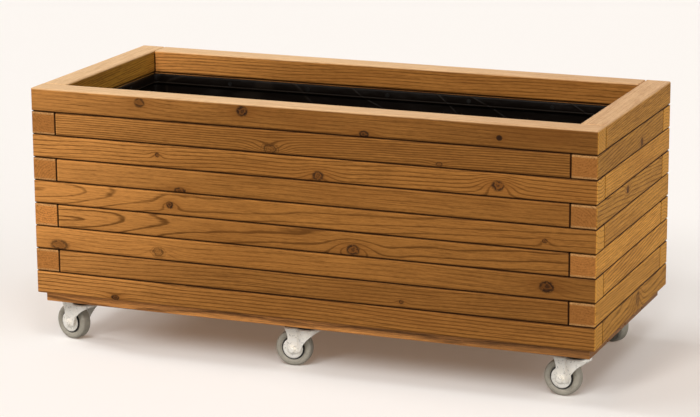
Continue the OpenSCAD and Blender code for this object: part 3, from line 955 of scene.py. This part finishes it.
class PLANTER_OT_casters(bpy.types.Operator):
    """Zinc, steel, moulded cores and grey tyres of the six casters"""

    bl_idname = "planter.casters"
    bl_label = "Finish the casters"

    def execute(self, context):
        look = context.scene.planter_casters
        fork_top, plate_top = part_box("fork_front_left")[1][2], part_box("caster_plates")[1][2]
        gap = (fork_top - CROWN_EDGE, plate_top - PLATE_DEPTH, look.gap_shade)
        zinc = metal_finish(
            "bright_zinc", look.zinc, ZINC_DULL, rough=0.42, spangle=240.0, shine=0.20, gap=gap
        )
        steel = metal_finish("plain_steel", look.steel, STEEL_DULL, rough=0.30, spangle=420.0)
        # balls drawn near-black as painted shade
        balls = metal_finish(
            "gap_shaded_balls", look.gap_shade, GAP_SHADE_DULL, rough=0.35, spangle=500.0, shine=0.6
        )
        moulded = moulded_finish("moulded_core", look.moulded)
        rubber = rubber_finish(look)
        for node in ("caster_plates", "caster_screws"):
            paint(node, zinc)
        paint("kingpins", steel)
        paint("ball_races", balls)
        for corner in CORNERS:
            paint(f"fork_{corner}", zinc)
            paint(f"axle_{corner}", zinc)
            paint(f"hub_{corner}", moulded)
            paint(f"tyre_{corner}", rubber)
        return {"FINISHED"}


# ---- stage ----

FLOOR_HALF = 40.0
FLOOR_QUIET = 0.55  # share of the floor's paleness that the planter itself gets from it

# How far the lamps that make up each tall soft lamp shift a shadow to the right and to the back,
# as shares of the height that casts it
FRONT_SLOPES = ((-0.45, 0.65), (0.15, 0.92), (-0.30, 1.20), (0.35, 1.60))
LEFT_SLOPES = ((0.35, 0.25), (0.80, 0.12), (1.40, 0.0), (2.00, -0.10))
TALL_LAMP_ANGLE = 12.0
FILL_DIRECTION = (-3.0, 1.15, -1.0)
FILL_ANGLE = 60.0

SENSOR_WIDTH = 36.0
PHOTO_WIDTH = 700
FOCAL_IN_PIXELS = 2613.69
CAMERA_PLACE = (1.9548, -4.8521, 1.5760)


def stage_floor(look):
    """A pale floor that keeps the planter's shadow. The camera sees it paler than the planter does,
    with a painted warm glow of its own that lifts its shadow"""
    work = bmesh.new()
    bmesh.ops.create_grid(work, x_segments=1, y_segments=1, size=FLOOR_HALF)
    mesh = make_mesh("stage_floor", work)
    floor = put("stage_floor", mesh)
    finish = Finish("stage_floor", roughness=0.9, specular_ior_level=0.0, emission_strength=1.0)
    seen = finish.node("ShaderNodeLightPath", output="Is Camera Ray")
    quiet = tuple(c * FLOOR_QUIET for c in look.floor)
    finish.feed(base_color=finish.mix(seen, quiet, look.floor))
    # painted light: a warm glow that lifts the floor's shadow
    finish.feed(emission_color=finish.mix(seen, (0.0, 0.0, 0.0), look.painted_glow))
    mesh.materials.append(finish.material)


def lamp(name, direction, level, angle):
    """A soft sun. direction is how far its light goes to the right and to the back while it comes
    down, level is what it gives level ground, and angle is how wide it looks, in degrees"""
    light = bpy.data.lights.new(name, "SUN")
    light.energy = level * Vector(direction).length
    light.angle = math.radians(angle)
    holder = put(name, light)
    holder.rotation_mode = "QUATERNION"
    holder.rotation_quaternion = Vector(direction).to_track_quat("-Z", "Y")


def stage_sky(look):
    """Even light from all round, and the backdrop that the camera and the gloss see at full"""
    world = bpy.data.worlds.new("stage_sky")
    world.use_nodes = True
    nodes, links = world.node_tree.nodes, world.node_tree.links
    shade = nodes["Background"]
    path = nodes.new("ShaderNodeLightPath")
    bright = nodes.new("ShaderNodeMath")
    bright.operation = "MAXIMUM"
    links.new(path.outputs["Is Camera Ray"], bright.inputs[0])
    links.new(path.outputs["Is Glossy Ray"], bright.inputs[1])
    level = nodes.new("ShaderNodeMapRange")
    level.inputs["To Min"].default_value = look.sky
    level.inputs["To Max"].default_value = 1.0
    links.new(bright.outputs[0], level.inputs["Value"])
    links.new(level.outputs[0], shade.inputs["Strength"])
    shade.inputs["Color"].default_value = (*look.backdrop, 1)
    bpy.context.scene.world = world


def photo_camera():
    """The photograph's viewpoint, found from the box's own straight edges"""
    right = Vector((0.927719, 0.373239, -0.005541))
    up = Vector((-0.08435, 0.224074, 0.970915))
    back = Vector((0.363625, -0.900269, 0.239361))
    camera = bpy.data.cameras.new("photo_camera")
    camera.sensor_width = SENSOR_WIDTH
    camera.lens = FOCAL_IN_PIXELS / PHOTO_WIDTH * SENSOR_WIDTH
    camera.clip_end = 200.0
    holder = put("photo_camera", camera)
    turn = Matrix((right, up, back)).transposed()
    holder.matrix_world = Matrix.Translation(CAMERA_PLACE) @ turn.to_4x4()
    bpy.context.scene.camera = holder


class PLANTER_OT_stage(bpy.types.Operator):
    """Pale floor, soft lamps and the camera"""

    bl_idname = "planter.stage"
    bl_label = "Set the stage"

    def execute(self, context):
        look = context.scene.planter_stage
        context.scene.view_settings.view_transform = "Standard"
        stage_floor(look)
        stage_sky(look)
        tall_lamps = {"front": (FRONT_SLOPES, look.front), "left": (LEFT_SLOPES, look.left)}
        for name, (slopes, level) in tall_lamps.items():
            for i, (right, back) in enumerate(slopes):
                share_of_it = level / len(slopes)
                lamp(f"{name}_lamp_{i}", (right, back, -1.0), share_of_it, TALL_LAMP_ANGLE)
        lamp("fill_lamp", FILL_DIRECTION, look.fill, FILL_ANGLE)
        photo_camera()
        return {"FINISHED"}


class PLANTER_PT_panel(bpy.types.Panel):
    """Lists what the planter is made of"""

    bl_idname = "PLANTER_PT_panel"
    bl_label = "Rolling planter"
    bl_space_type = "VIEW_3D"
    bl_region_type = "UI"
    bl_category = "Planter"

    def draw(self, context):
        for cls in OPERATORS:
            self.layout.operator(cls.bl_idname)
        for name, group in GROUPS.items():
            box = self.layout.box()
            for key in group.__annotations__:
                box.prop(getattr(context.scene, name), key)


OPERATORS = (
    PLANTER_OT_beams,
    PLANTER_OT_floor_and_pins,
    PLANTER_OT_liner,
    PLANTER_OT_casters,
    PLANTER_OT_stage,
)
GROUPS = {
    "planter_timber": TimberLook,
    "planter_liner": LinerLook,
    "planter_casters": CasterLook,
    "planter_stage": StageLook,
}


def register():
    for cls in (*GROUPS.values(), *OPERATORS, PLANTER_PT_panel):
        bpy.utils.register_class(cls)
    for name, group in GROUPS.items():
        setattr(bpy.types.Scene, name, bpy.props.PointerProperty(type=group))


def unregister():
    for name in GROUPS:
        delattr(bpy.types.Scene, name)
    for cls in reversed((*GROUPS.values(), *OPERATORS, PLANTER_PT_panel)):
        bpy.utils.unregister_class(cls)


def main():
    register()
    bpy.ops.planter.beams()
    bpy.ops.planter.floor_and_pins()
    bpy.ops.planter.liner()
    bpy.ops.planter.casters()
    bpy.ops.planter.stage()


if __name__ == "__main__":
    main()
